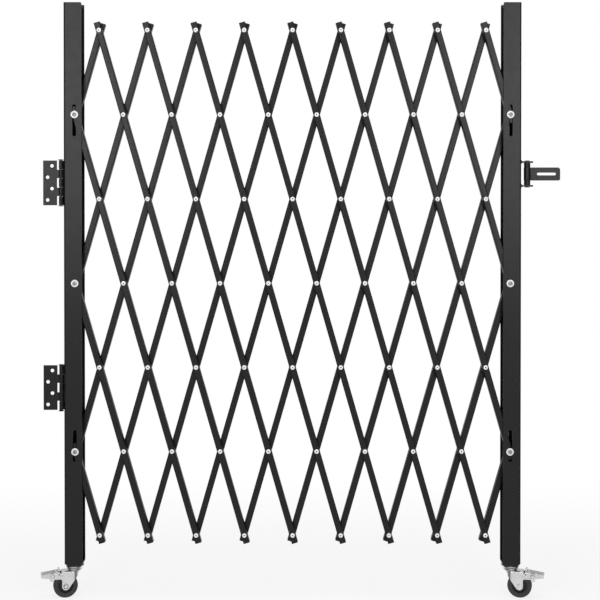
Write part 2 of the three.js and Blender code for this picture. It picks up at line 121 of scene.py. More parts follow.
def facing_out(bm):
    bmesh.ops.remove_doubles(bm, verts=bm.verts, dist=tiny)
    bmesh.ops.recalc_face_normals(bm, faces=bm.faces)
    return bm


def flat_face(points):
    """One flat face in a new mesh, with its corners in the order of the points."""
    bm = bmesh.new()
    verts, _ = wire(bm, points, closed=True)
    bm.faces.new(verts)
    return bm, verts


def round_corners(bm, verts, radius, segments):
    """Corners of a flat outline rounded in its plane."""
    bmesh.ops.bevel(
        bm, geom=verts, offset=radius, segments=segments, profile=0.5, affect="VERTICES", material=-1
    )


def round_edges(bm, edges, radius, segments):
    bmesh.ops.bevel(
        bm, geom=edges, offset=radius, segments=segments, profile=0.5, affect="EDGES",
        clamp_overlap=True, material=-1,
    )


def drawn(bm, vector):
    """A flat face drawn along a vector into a solid."""
    made = bmesh.ops.extrude_face_region(bm, geom=bm.faces[:])
    bmesh.ops.translate(bm, verts=verts_of(made), vec=vector)
    return facing_out(bm)


def prism(points, vector, corner=0.0, corner_steps=5):
    """A flat outline drawn along a vector, its corners rounded by the radius corner."""
    bm, verts = flat_face(points)
    if corner:
        round_corners(bm, verts, corner, corner_steps)
    return drawn(bm, vector)


def side_prism(outline, near, far, corner=0.0, corner_steps=5):
    """An outline of X and Z drawn along Y from one place to another."""
    return prism([(x, near, z) for x, z in outline], (0, far - near, 0), corner, corner_steps)


def block(low, high):
    """A solid box between two corners."""
    bm = bmesh.new()
    bmesh.ops.create_cube(bm, size=1.0)
    size = [b - a for a, b in zip(low, high)]
    centre = [(a + b) / 2 for a, b in zip(low, high)]
    bmesh.ops.scale(bm, verts=bm.verts, vec=size)
    bmesh.ops.translate(bm, verts=bm.verts, vec=centre)
    return bm


def moved(bm, *vector):
    bmesh.ops.translate(bm, verts=bm.verts, vec=vector)
    return bm


def laid_forward(bm):
    """A shape about Z laid over so that its top points to the front."""
    bmesh.ops.rotate(bm, verts=bm.verts, cent=(0, 0, 0), matrix=Matrix.Rotation(turn / 4, 3, "X"))
    return bm


def turned(profile, steps=32, axis="Z", closed=False):
    """A profile of radius and height turned into a solid; about Y its heights count to the front."""
    bm = bmesh.new()
    verts, edges = wire(bm, [(r, 0, h) for r, h in profile], closed)
    bmesh.ops.spin(
        bm, geom=verts + edges, cent=(0, 0, 0), axis=(0, 0, 1), dvec=(0, 0, 0),
        angle=turn, steps=steps, use_merge=True, use_duplicate=False,
    )
    if axis == "Y":
        laid_forward(bm)
    return facing_out(bm)


def shifted(outline, height, radius=0.0):
    """A profile of radius and height counted from another place."""
    return [(radius + r, height + h) for r, h in outline]


def rod(radius, low, high, steps=32, axis="Z"):
    return turned([(0, low), (radius, low), (radius, high), (0, high)], steps, axis)


def cross_bore(radius, reach, x, z, steps=32):
    """A cutter for a round hole along Y, reaching as far to the front as to the back."""
    return moved(rod(radius, -reach, reach, steps, "Y"), x, 0, z)


def raised(bm, height, axis):
    """A shape moved up along Z, or to the front along Y."""
    return moved(bm, 0, -height, 0) if axis == "Y" else moved(bm, 0, 0, height)


def hexagon(radius, low, high, axis="Y"):
    """A six-sided solid between two heights."""
    bm = bmesh.new()
    bmesh.ops.create_cone(bm, cap_ends=True, segments=6, radius1=radius, radius2=radius, depth=high - low)
    if axis == "Y":
        laid_forward(bm)
    return raised(bm, (low + high) / 2, axis)


def walled(bm, face, outward, wall):
    """An open sheet thickened on its inner side, where this face of it looks outward."""
    if face.normal.dot(Vector(outward)) < 0:
        bmesh.ops.reverse_faces(bm, faces=bm.faces)
    for vert in bm.verts:
        vert.normal_update()
    bmesh.ops.solidify(bm, geom=bm.faces[:], thickness=wall)
    return bm


def mesh_object(name, bm):
    """A finished mesh made an object in the scene."""
    mesh = bpy.data.meshes.new(name)
    bm.to_mesh(mesh)
    bm.free()
    thing = bpy.data.objects.new(name, mesh)
    bpy.context.scene.collection.objects.link(thing)
    return thing


def added(bm, *others):
    """The other meshes copied into the first, as loose shells."""
    for other in others:
        shell = bpy.data.meshes.new("shell")
        other.to_mesh(shell)
        other.free()
        bm.from_mesh(shell)
        bpy.data.meshes.remove(shell)
    return bm


def boolean(bm, operation, tools):
    """The solid after cutting it by the tools, joining them to it or keeping what it shares with them."""
    blank = mesh_object("blank", bm)
    helpers = [mesh_object("tool", tool) for tool in tools]
    for helper in helpers:
        modifier = blank.modifiers.new("shape", "BOOLEAN")
        modifier.operation = operation
        modifier.solver = "EXACT"
        modifier.object = helper
    result = bmesh.new()
    result.from_object(blank, bpy.context.evaluated_depsgraph_get())
    for thing in [blank, *helpers]:
        mesh = thing.data
        bpy.data.objects.remove(thing)
        bpy.data.meshes.remove(mesh)
    bmesh.ops.remove_doubles(result, verts=result.verts, dist=tiny)
    return result


def cut_by(bm, *tools):
    return boolean(bm, "DIFFERENCE", tools)


def joined(bm, *others):
    return boolean(bm, "UNION", others)


def shared(bm, *others):
    return boolean(bm, "INTERSECT", others)


def sharp_edges(bm, degrees=40):
    limit = math.radians(degrees)
    return [e for e in bm.edges if len(e.link_faces) == 2 and e.calc_face_angle(0) > limit]


def eased(bm, radius, degrees=40, segments=2):
    """Every sharp edge rounded a little, as on pressed or painted metal."""
    round_edges(bm, sharp_edges(bm, degrees), radius, segments)
    return bm


def rounded_rod(radius, low, high, ease, steps=32, axis="Y"):
    """A rod whose two rims are rounded."""
    half = (high - low) / 2
    return raised(eased(rod(radius, -half, half, steps, axis), ease, segments=3), (low + high) / 2, axis)


def rod_pair(radius, near, far, ease, steps=32, axis="Y"):
    """Two rounded rods, on both sides of the origin, from a near distance to a far one."""
    return [rounded_rod(radius, low, high, ease, steps, axis) for low, high in ((-far, -near), (near, far))]


def add_piece(name, bm, material, body, nodes, place, crease=50):
    """Puts a finished mesh in the scene: it rides on its body and stands for its CAD nodes."""
    bm.transform(place)
    piece = mesh_object(name, bm)
    mesh = piece.data
    mesh.polygons.foreach_set("use_smooth", [True] * len(mesh.polygons))
    mesh.set_sharp_from_angle(angle=math.radians(crease))
    mesh.materials.append(material)
    flats = piece.modifiers.new("even shading", "WEIGHTED_NORMAL")
    flats.keep_sharp = True
    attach(piece, body)
    if nodes:
        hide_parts(*nodes)


# Finishes
def add_node(tree, kind, inputs=None, **settings):
    """A shader node with its settings, and its inputs linked to a socket or set to a value."""
    node = tree.nodes.new("ShaderNode" + kind)
    for name, value in settings.items():
        setattr(node, name, value)
    for name, value in (inputs or {}).items():
        if isinstance(value, bpy.types.NodeSocket):
            tree.links.new(value, node.inputs[name])
        else:
            node.inputs[name].default_value = value
    return node


class Surface:
    """A Principled material with its patterns on Object coordinates."""

    def __init__(self, name, roughness, metallic=0.0, ior=1.45):
        self.material = bpy.data.materials.new(name)
        self.material.use_nodes = True
        self.tree = self.material.node_tree
        self.shader = self.tree.nodes["Principled BSDF"]
        self.shader.inputs["Roughness"].default_value = roughness
        self.shader.inputs["Metallic"].default_value = metallic
        self.shader.inputs["IOR"].default_value = ior
        self.place = add_node(self.tree, "TexCoord")

    def feed(self, value, name):
        """Links a pattern to an input of the shader."""
        self.tree.links.new(value, self.shader.inputs[name])

    def noise(self, scale, detail=3.0, stretch=(1, 1, 1)):
        place = self.place.outputs["Object"]
        mapping = add_node(self.tree, "Mapping", {"Vector": place, "Scale": stretch})
        inputs = {"Vector": mapping.outputs["Vector"], "Scale": scale, "Detail": detail}
        return add_node(self.tree, "TexNoise", inputs).outputs["Fac"]

    def spread(self, value, low, high, start=0.3, end=0.7):
        """The part of a pattern between start and end spread over a range from low to high."""
        limits = {"From Min": start, "From Max": end, "To Min": low, "To Max": high}
        return add_node(self.tree, "MapRange", {"Value": value, **limits}).outputs["Result"]

    def ramp(self, value, stops):
        """Colours at places along a value, blended in between."""
        node = add_node(self.tree, "ValToRGB", {"Fac": value})
        steps = node.color_ramp.elements
        while len(steps) < len(stops):
            steps.new(0.5)
        for step, (place, colour) in zip(steps, stops):
            step.position = place
            step.color = (*colour, 1)
        return node.outputs["Color"]

    def facing(self):
        """One where the surface faces the front or the back, and nought where it faces aside."""
        axes = add_node(self.tree, "SeparateXYZ", {"Vector": self.place.outputs["Normal"]})
        return add_node(self.tree, "Math", {0: axes.outputs["Y"]}, operation="ABSOLUTE").outputs["Value"]

    def tint(self, value, dark, light, start=0.3, end=0.7):
        self.feed(self.ramp(value, ((start, dark), (end, light))), "Base Color")

    def rough(self, value, low, high):
        self.feed(self.spread(value, low, high), "Roughness")

    def flanks(self, sheen, flank_sheen, start, end):
        """Less sheen where the surface turns away from the front or the back."""
        self.feed(self.spread(self.facing(), flank_sheen, sheen, start, end), "Specular IOR Level")

    def painted_reflection_bands(self, stops):
        """Painted reflection: darkens the colour in stripes by how squarely the surface faces the front or
        the back.
        """
        shade = self.ramp(self.facing(), [(place, (level, level, level)) for place, level in stops])
        colour = self.shader.inputs["Base Color"].links[0].from_socket
        mix = add_node(self.tree, "Mix", data_type="RGBA", blend_type="MULTIPLY")
        mix.inputs[0].default_value = 1.0
        self.tree.links.new(colour, mix.inputs[6])
        self.tree.links.new(shade, mix.inputs[7])
        self.feed(mix.outputs[2], "Base Color")

    def bump(self, value, strength, depth):
        inputs = {"Height": value, "Strength": strength, "Distance": depth}
        self.feed(add_node(self.tree, "Bump", inputs).outputs["Normal"], "Normal")


def powder_coat(name, lit_from, lit_to):
    """Satin black powder coat with a fine orange peel, duller on the surfaces that face aside."""
    coat = Surface(name, roughness=0.4, ior=1.355)
    coat.tint(coat.noise(9, 2), dark=(0.0060, 0.0060, 0.0063), light=(0.0068, 0.0068, 0.0071))
    coat.rough(coat.noise(40, 2), low=0.33, high=0.36)
    coat.bump(coat.noise(1300, 2), strength=0.10, depth=0.0002)
    coat.flanks(sheen=0.5, flank_sheen=0.08, start=lit_from, end=lit_to)
    return coat.material


def zinc_plate():
    """Bright zinc on pressed steel: faint drawing marks, cloudy patches, and a dark room's reflection painted
    into its colour.
    """
    zinc = Surface("bright_zinc", roughness=0.24, metallic=1.0)
    zinc.tint(zinc.noise(60), dark=(0.80, 0.80, 0.805), light=(0.88, 0.88, 0.885))
    zinc.rough(zinc.noise(420, stretch=(1, 1, 0.2)), low=0.19, high=0.26)
    zinc.bump(zinc.noise(900, stretch=(1, 1, 0.15)), strength=0.06, depth=0.0001)
    # Painted reflection: the colour darkened where the zinc faces part-way aside, as a dark stripe on the
    # fork's nose.
    zinc.painted_reflection_bands(((0.0, 0.45), (0.2, 0.9), (0.45, 1.0), (0.62, 0.26), (0.84, 0.22), (0.94, 0.8), (0.99, 1.0)))
    return zinc.material


def rivet_zinc():
    """Zinc of the rivets, washers and nuts, a little milky."""
    zinc = Surface("rivet_zinc", roughness=0.55, metallic=0.35)
    zinc.tint(zinc.noise(300), dark=(0.76, 0.76, 0.76), light=(0.86, 0.86, 0.86))
    zinc.rough(zinc.noise(700), low=0.50, high=0.62)
    zinc.bump(zinc.noise(1500, 2), strength=0.1, depth=0.0001)
    return zinc.material


def dull_shaded_zinc():
    """Zinc on the pedal's tread, brushed rough along its length, its colour kept darker than the other zinc
    as painted shade on the pedal's top.
    """
    zinc = Surface("tread_zinc", roughness=0.45, metallic=1.0)
    # Painted shade: a darker zinc colour than on the rest of the pedal.
    zinc.tint(zinc.noise(80), dark=(0.40, 0.40, 0.405), light=(0.48, 0.48, 0.485))
    zinc.rough(zinc.noise(500, stretch=(0.2, 1, 1)), low=0.38, high=0.52)
    zinc.bump(zinc.noise(900, stretch=(0.15, 1, 1)), strength=0.1, depth=0.0001)
    return zinc.material


def dark_steel():
    """The duller steel of the bolt heads."""
    steel = Surface("bolt_steel", roughness=0.5, metallic=0.6)
    steel.tint(steel.noise(300), dark=(0.30, 0.30, 0.30), light=(0.38, 0.38, 0.37))
    steel.rough(steel.noise(500), low=0.44, high=0.56)
    steel.bump(steel.noise(1800), strength=0.2, depth=0.0001)
    return steel.material


def tread_rubber():
    """Dark grey rubber with a fine moulded grain."""
    rubber = Surface("tread_rubber", roughness=0.6, ior=1.5)
    rubber.tint(rubber.noise(180, 4), dark=(0.018, 0.018, 0.018), light=(0.027, 0.027, 0.027))
    rubber.rough(rubber.noise(260, 4), low=0.48, high=0.66)
    rubber.bump(rubber.noise(2200), strength=0.25, depth=0.0002)
    return rubber.material


def black_plastic():
    """Matt moulded black plastic."""
    plastic = Surface("black_plastic", roughness=0.5, ior=1.46)
    plastic.tint(plastic.noise(120), dark=(0.005, 0.005, 0.005), light=(0.009, 0.009, 0.009))
    plastic.rough(plastic.noise(300), low=0.42, high=0.56)
    plastic.bump(plastic.noise(2600, 2), strength=0.2, depth=0.00015)
    return plastic.material


coat = powder_coat("black_powder_coat", lit_from=0.7, lit_to=0.985)
knuckle_coat = powder_coat("hinge_powder_coat", lit_from=0.15, lit_to=0.8)
zinc = zinc_plate()
rivet_metal = rivet_zinc()
# The tread's darker zinc is painted shade on the pedal's upturned top.
shaded_tread_zinc = dull_shaded_zinc()
bolt_steel = dark_steel()
rubber = tread_rubber()
plastic = black_plastic()


# Posts: pressed channels, open towards the lattice, each built with its outer face at zero
post_wall = 0.002
post_bend = 0.0047
post_ease = 0.00035
post_top_corner = 0.002
post_hole_radius = 0.0045
floor_plate = 0.004
slot_wide_half = 0.0056
slot_front_half = 0.0041
slot_back_half = 0.0036
slot_end_room = 0.004


def channel(width, half_depth, wall, bend, low, high, bend_steps=6):
    """A channel along Z: its outer web at zero X, its two flanges reaching out to the width."""
    bm = bmesh.new()
    section = [(width, -half_depth), (0, -half_depth), (0, half_depth), (width, half_depth)]
    verts, _ = wire(bm, [(x, y, low) for x, y in section])
    round_corners(bm, verts[1:3], bend, bend_steps)
    pull(bm, bm.edges[:], (0, 0, high - low))
    facing_out(bm)
    web = min(bm.faces, key=lambda face: face.calc_center_median().x)
    return facing_out(walled(bm, web, (-1, 0, 0), wall))


def slot_tool(low, high, outward, inward, side):
    """A cutter for an upright slot in one flange, reaching outward and inward from the bolt line."""
    r = (outward + inward) / 2
    corners = [(-outward, low - r), (inward, low - r), (inward, high + r), (-outward, high + r)]
    outline = [(bolt_line + x, z) for x, z in corners]
    return side_prism(outline, 0, side * (half_post + overrun), corner=r * full_round, corner_steps=8)


def post_blank(front):
    """A post in its own frame, where front is the sign of Y on its front."""
    low, high = post_low.z, post_high.z
    centre = lattice_origin.z
    bolt_reach = bolt_rows / 2 * pivot_pitch
    near = bolt_reach * math.cos(open_angle) - slot_end_room
    far = bolt_reach * math.cos(closed_angle) + slot_end_room
    shell = channel(post_width, half_post, post_wall, post_bend, low, high)
    inner = half_post - post_wall / 2
    plate = block((post_wall / 2, -inner, low), (post_width, inner, low + floor_plate))
    edge = post_width + overrun
    corner = [
        (post_width - post_top_corner, high),
        (post_width, high - post_top_corner),
        (edge, high - post_top_corner),
        (edge, high + overrun),
        (post_width - post_top_corner, high + overrun),
    ]
    reach = half_post + overrun
    hole = cross_bore(post_hole_radius, reach, bolt_line, centre)
    slots = []
    for low_end, high_end in ((centre + near, centre + far), (centre - far, centre - near)):
        slots.append(slot_tool(low_end, high_end, slot_wide_half, slot_front_half, front))
        slots.append(slot_tool(low_end, high_end, slot_back_half, slot_wide_half, -front))
    return cut_by(joined(shell, plate), side_prism(corner, -reach, reach), hole, *slots)


def add_posts():
    left = eased(post_blank(-1), post_ease)
    place = Matrix.Translation((left_face, gate_y, 0))
    add_piece("left_post_channel", left, coat, "left_post", ["left_post"], place)
    right = post_blank(1)
    right.transform(Matrix.Rotation(turn / 2, 4, "Z"))
    right = eased(joined(right, *hasp_ears()), post_ease)
    place = Matrix.Translation((right_face, gate_y, 0))
    add_piece("right_post_channel", right, coat, "right_post", ["right_post"], place)


# Lattice bars: channels on edge, hung from their top pivot along negative Z
bar_width = 0.016
bar_depth = 0.0188
bar_wall = 0.0016
bar_bend = 0.0024
bar_tail = 0.021
bar_gap = 0.0003
bar_ease = 0.0003
bar_front = bar_gap + bar_depth

# Blind rivets: outlines of radius and height, the head's from its top and the tail's from the rear web
rivet_radius = 0.0058
rivet_rim = 0.0002
rivet_shank = 0.003
rivet_height = 0.0016
rivet_dent = ((0, -0.0016), (0.0013, -0.0016), (0.0017, -0.0003))
rivet_dome = ((0.0024, 0), (0.0036, -0.0002), (0.0049, -0.0006), (0.0057, -0.0011))
rivet_tail = ((0.0044, -0.0001), (0.0044, -0.0007), (0.0036, -0.0012), (0.0012, -0.0014), (0, -0.0009))


def bar_channel(side, length):
    """A bar with its web to the front, in the front layer for side -1 and the rear one for side 1."""
    web = -bar_front if side < 0 else bar_gap
    bm = channel(bar_depth, bar_width / 2, bar_wall, bar_bend, -length - bar_tail, bar_tail)
    moved(bm, web, 0, 0)
    bmesh.ops.rotate(bm, verts=bm.verts, cent=(0, 0, 0), matrix=Matrix.Rotation(turn / 4, 3, "Z"))
    return eased(bm, bar_ease)


def rivet():
    """A blind rivet through both bars, along Y: domed head with its mandrel dent, shank and formed tail."""
    back = -bar_gap - bar_wall
    profile = [
        *shifted(rivet_dent + rivet_dome, bar_front + rivet_height),
        (rivet_radius, bar_front + rivet_rim),
        (rivet_radius - rivet_rim, bar_front),
        (rivet_shank, bar_front),
        (rivet_shank, back),
        *shifted(rivet_tail, back),
    ]
    return turned(profile, steps=28, axis="Y")


def bar_nodes(start_column, step):
    found = [(start_column + step * row, row) for row in range(rows + 1)]
    return [(column, row) for column, row in found if 0 <= column <= columns]


def add_bar(number, side, start_column, step):
    """One bar at its place, and on a front bar the rivets that it carries."""
    name = f"{'front' if side < 0 else 'rear'}_bar_{number:02d}"
    nodes = bar_nodes(start_column, step)
    place = Matrix.Translation(node_place(*nodes[0])) @ Matrix.Rotation(-step * rest_angle, 4, "Y")
    bar = bar_channel(side, (len(nodes) - 1) * pivot_pitch)
    add_piece(name + "_channel", bar, coat, name, [name], place)
    if side > 0:
        return
    rivets = bmesh.new()
    for index, (column, _) in enumerate(nodes):
        if 0 < column < columns:
            added(rivets, moved(rivet(), 0, 0, -index * pivot_pitch))
    add_piece(name + "_rivets", rivets, rivet_metal, name, [], place)


def add_lattice():
    for number in range(1, (columns + rows) // 2 + 1):
        add_bar(number, -1, 2 * number - 1 - rows, 1)
        add_bar(number, 1, 2 * number - 1, -1)


# Pivot bolts along Y, with washers in front and behind and a nut behind
bolt_radius = 0.0035
bolt_point_radius = 0.0028
bolt_overhang = 0.002
bolt_head_radius = 0.0054
bolt_head_height = 0.0040
bolt_head_round = 0.0012
socket_radius = 0.0029
socket_depth = 0.0032
washer_radius = 0.0094
washer_thickness = 0.0015
washer_round = 0.0004
nut_radius = 0.0075
nut_height = 0.0065
nut_end_radius = 0.00675
nut_crown_radius = 0.00765
nut_crown_half = 0.00234
facet_ease = 0.00015
thread_root = 0.00301
thread_pitch = 0.00125
thread_stop = 0.0004
washer_seat = half_post + seat_gap
washer_top = washer_seat + washer_thickness


def bolt_head():
    """The button head in front of the washer, with its six-sided recess."""
    top = washer_top + bolt_head_height
    head = rounded_rod(bolt_head_radius, washer_top, top, bolt_head_round)
    head = cut_by(head, hexagon(socket_radius, top - socket_depth, top + overrun))
    return eased(head, facet_ease, degrees=60)


def bolt_nut():
    """A hexagon nut whose corners are turned down at both ends."""
    end = -washer_top - nut_height
    half = nut_height / 2
    crown = [
        (0, -half),
        (nut_end_radius, -half),
        (nut_crown_radius, -nut_crown_half),
        (nut_crown_radius, nut_crown_half),
        (nut_end_radius, half),
        (0, half),
    ]
    crown = raised(turned(crown, axis="Y"), end + half, "Y")
    return eased(shared(hexagon(nut_radius, end, -washer_top), crown), facet_ease, degrees=30)


def bolt_shank():
    """The shank with its thread from the washer behind to its end."""
    end = -washer_top - nut_height - bolt_overhang
    height = -washer_top
    profile = [(0, washer_top), (bolt_radius, washer_top), (bolt_radius, height)]
    while height - thread_pitch > end + thread_stop:
        profile.append((thread_root, height - thread_pitch / 2))
        profile.append((bolt_radius, height - thread_pitch))
        height -= thread_pitch
    profile += [(bolt_point_radius, end), (0, end)]
    return turned(profile, axis="Y")


def bolt_set():
    """Both washers, the nut and the threaded shank."""
    washers = rod_pair(washer_radius, washer_seat, washer_top, washer_round, steps=40)
    return added(*washers, bolt_nut(), bolt_shank())


bolt_bodies = {
    "left_bolt_upper": "front_bar_03",
    "left_bolt_middle": "left_post",
    "left_bolt_lower": "front_bar_01",
    "right_bolt_upper": "front_bar_12",
    "right_bolt_middle": "right_post",
    "right_bolt_lower": "front_bar_10",
}


def add_bolts():
    for name, body in bolt_bodies.items():
        centre = middle(name)
        place = Matrix.Translation((centre.x, gate_y, centre.z))
        add_piece(name + "_set", bolt_set(), rivet_metal, body, [name], place, crease=35)
        add_piece(name + "_head", bolt_head(), bolt_steel, body, [], place, crease=35)


# Butt hinges: rolled leaves around a pin on the Z axis, the wall leaf along negative X
leaf_height = 0.1143
leaf_width = 0.0352
leaf_thickness = 0.003
leaf_ease = 0.0007
leaf_holes = 4
leaf_hole_radius = 0.0045
leaf_hole_spacing = 0.029
leaf_hole_near = 0.0130
leaf_hole_far = 0.0242
countersink_radius = 0.0062
countersink_land = 0.0001
countersink_slope = 0.62
knuckle_count = 5
knuckle_radius = 0.0065
knuckle_to_leaf = 0.0040
knuckle_gap = 0.0006
knuckle_roll = 0.86 * turn
roll_steps = 18
hinge_pin_radius = 0.003
hinge_cap_height = 0.0024
cap_round = 0.0009
leaf_near = -knuckle_radius - knuckle_to_leaf


def rolled_leaf(first):
    """A leaf as one bent sheet: the plate, its tongues and their rolls round the pin."""
    bm = bmesh.new()
    middle_line = knuckle_radius - leaf_thickness / 2
    half = leaf_height / 2
    step = leaf_height / knuckle_count
    own = []
    for k in range(first, knuckle_count, 2):
        low = k * step - half
        own.append((low + knuckle_gap, low + step - knuckle_gap))
    heights = sorted({-half, half, *(height for span in own for height in span)})
    _, edges = wire(bm, [(leaf_near - leaf_width, middle_line, height) for height in heights])
    tongues = []
    for edge in pull(bm, edges, (leaf_width, 0, 0)):
        ends = sorted(vert.co.z for vert in edge.verts)
        if any(math.dist(ends, span) < tiny for span in own):
            tongues.append(edge)
    for rim in pull(bm, tongues, (-leaf_near, 0, 0)):
        if all(abs(vert.co.x) < tiny for vert in rim.verts):
            bmesh.ops.spin(
                bm, geom=[rim, *rim.verts], cent=(0, 0, 0), axis=(0, 0, 1), dvec=(0, 0, 0),
                angle=-knuckle_roll, steps=roll_steps, use_merge=False, use_duplicate=False,
            )
    facing_out(bm)
    plate = max(bm.faces, key=lambda face: face.calc_area())
    return walled(bm, plate, (0, 1, 0), leaf_thickness)


def leaf_hole(x, z):
    """A countersunk screw hole through the leaf, wide at the front."""
    front = leaf_thickness - knuckle_radius
    back = -knuckle_radius - overrun
    sink = front - (countersink_radius - leaf_hole_radius) * countersink_slope
    profile = [
        (0, front + overrun),
        (countersink_radius, front + overrun),
        (countersink_radius, front - countersink_land),
        (leaf_hole_radius, sink),
        (leaf_hole_radius, back),
        (0, back),
    ]
    return moved(turned(profile, axis="Y"), x, 0, z)


def hinge_leaf(first):
    """A leaf with its staggered screw holes, where first is the lowest knuckle that it has."""
    holes = []
    for i in range(leaf_holes):
        inset = leaf_hole_far if i % 2 == 0 else leaf_hole_near
        holes.append(leaf_hole(leaf_near - inset, (i - (leaf_holes - 1) / 2) * leaf_hole_spacing))
    return eased(cut_by(rolled_leaf(first), *holes), leaf_ease, segments=3)


def hinge_pin():
    """The pin with a flat cap over each end knuckle."""
    half = leaf_height / 2
    seat = half + seat_gap
    caps = rod_pair(knuckle_radius, seat, seat + hinge_cap_height, cap_round, axis="Z")
    return added(rod(hinge_pin_radius, -half, half, steps=24), *caps)


def add_hinge(level):
    axis = joint_place("gate_swing")
    place = Matrix.Translation((axis.x, axis.y, middle(f"wall_leaf_{level}").z))
    folded = place @ Matrix.Rotation(-turn / 4, 4, "Z")

    def add(name, ending, bm, body, spot, crease=50):
        node = f"{name}_{level}"
        add_piece(f"{node}_{ending}", bm, knuckle_coat, body, [node], spot, crease)

    add("wall_leaf", "plate", hinge_leaf(1), "wall_leaves", place)
    add("post_leaf", "plate", hinge_leaf(0), "left_post", folded)
    add("hinge_pin", "rod", hinge_pin(), "wall_leaves", place, crease=35)


# Hasp: a slotted strap on a barrel, turning on an upright pin between two ears on the right post
ear_thickness = 0.004
ear_half_depth = 0.012
ear_edge = 0.0017
ear_reach = 0.0325
weld_radius = 0.0026
weld_half_length = 0.01104
strap_height = 0.0335
strap_thickness = 0.003
strap_barrel = 0.0087
strap_reach = 0.0844
strap_ease = 0.0011
strap_slot_length = 0.0487
strap_slot_height = 0.0067
strap_slot_margin = 0.0107
strap_top_corner = 0.0065
strap_low_corner = 0.0045
hasp_pin_radius = 0.005
hasp_pin_ease = 0.0002
hasp_pin_head = 0.0065
hasp_pin_end = 0.003
hasp_head_height = 0.0016
hasp_collar = 0.0081
hasp_pin_low, hasp_pin_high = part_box("hasp_pin")
ear_top = (hasp_pin_high.z - hasp_pin_low.z) / 2 - hasp_pin_end
ear_low = ear_top - ear_thickness - 2 * seat_gap


def ear(height):
    """One ear of the hasp in the right post's frame, with the weld along its root."""
    pin = joint_place("hasp_swing")
    x, y = pin.x - right_face, pin.y - gate_y
    root = -post_wall / 2
    low = height - ear_thickness / 2
    near, far = y - ear_half_depth, y + ear_half_depth
    outline = [(root, near, low), (ear_reach, near, low), (ear_reach, far, low), (root, far, low)]
    plate, corners = flat_face(outline)
    round_corners(plate, corners[1:3], ear_half_depth * full_round, segments=10)
    plate = eased(drawn(plate, (0, 0, ear_thickness)), ear_edge, segments=4)
    plate = cut_by(plate, moved(rod(hasp_pin_radius + bore_gap, -overrun, overrun), x, y, height))
    for side in (-1, 1):
        bead = rod(weld_radius, -weld_half_length, weld_half_length, steps=12, axis="Y")
        plate = joined(plate, moved(bead, 0, y, height + side * ear_thickness / 2))
    return plate


def hasp_ears():
    strap_middle = middle("hasp_strap").z
    rise = (ear_low + ear_top) / 2
    return [ear(strap_middle + side * rise) for side in (-1, 1)]


def strap():
    """The slotted strap and its barrel as one piece, with two rounded corners at its free end."""
    half = strap_height / 2
    front = -strap_thickness / 2
    outline = [(0, half), (0, -half), (strap_reach, -half), (strap_reach, half)]
    plate, corners = flat_face([(x, front, z) for x, z in outline])
    round_corners(plate, [corners[2]], strap_low_corner, segments=8)
    round_corners(plate, [corners[3]], strap_top_corner, segments=8)
    plate = drawn(plate, (0, strap_thickness, 0))
    r = strap_slot_height / 2
    far = strap_reach - strap_slot_margin
    near = far - strap_slot_length
    outline = [(near, -r), (far, -r), (far, r), (near, r)]
    slot = side_prism(outline, -overrun, overrun, corner=r * full_round, corner_steps=8)
    barrel = rod(strap_barrel, -half, half, steps=40)
    hole = rod(hasp_pin_radius + bore_gap, -strap_height, strap_height)
    return eased(cut_by(joined(plate, barrel), slot, hole), strap_ease, segments=3)


def hasp_pin_rod():
    """The pin with a head over each ear and a collar between each ear and the strap."""
    pin = rounded_rod(hasp_pin_radius, -ear_top, ear_top, hasp_pin_ease, axis="Z")
    heads = rod_pair(hasp_pin_head, ear_top, ear_top + hasp_head_height, cap_round, axis="Z")
    collars = rod_pair(hasp_collar, strap_height / 2 + seat_gap, ear_low, cap_round, axis="Z")
    return added(pin, *heads, *collars)


def add_hasp():
    axis = joint_place("hasp_swing")
    place = Matrix.Translation((axis.x, axis.y, middle("hasp_strap").z))
    add_piece("hasp_strap_plate", strap(), coat, "hasp", ["hasp_strap"], place, crease=35)
    place = Matrix.Translation((axis.x, axis.y, middle("hasp_pin").z))
    add_piece("hasp_pin_rod", hasp_pin_rod(), coat, "right_post", ["hasp_pin"], place, crease=35)


# Casters: swivel axis on Z over the floor, the wheel trailing towards negative X
plug_low, plug_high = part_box("left_foot_plug")
cup_low, cup_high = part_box("left_swivel_cup")
plug_radius = 0.0226
plug_round = 0.0012
stem_radius = 0.005
stem_round = 0.0006
stem_head_radius = 0.007
stem_head_height = 0.0036
stem_nut_radius = 0.009
stem_nut_height = 0.008
hexagon_ease = 0.0004
stem_bore = stem_radius + bore_gap

# Swivel: outlines of radius and height, counted from the rims of the cup and the crown
race_radius = 0.017
race_round = 0.0015
race_room = 0.0014
race_drop = 0.003
cup_radius = 0.024
cup_low_radius = 0.0202
cup_shell = 0.0018
cup_fillet = 0.0006
cup_shoulder = (
    (-0.0016, 0), (-0.0006, -0.0003), (0, -0.0010), (-0.0002, -0.0020), (-0.0012, -0.0034), (-0.0028, -0.0062)
)
cup_rim = ((0.0002, 0.0020), (0, 0.0008), (-0.0006, 0), (-0.0016, 0.0004), (-0.0018, 0.0020))
crown_radius = 0.0182
crown_depth = 0.0116
crown_round = 0.0006
crown_rim = ((-0.0034, -0.0056), (-0.0010, -0.0030), (0, -0.0020), (0, -0.0012), (-crown_round, -crown_round))
crown_thickness = 0.0054
crown_top = cup_low.z - 2 * seat_gap
crown_bottom = crown_top - crown_thickness

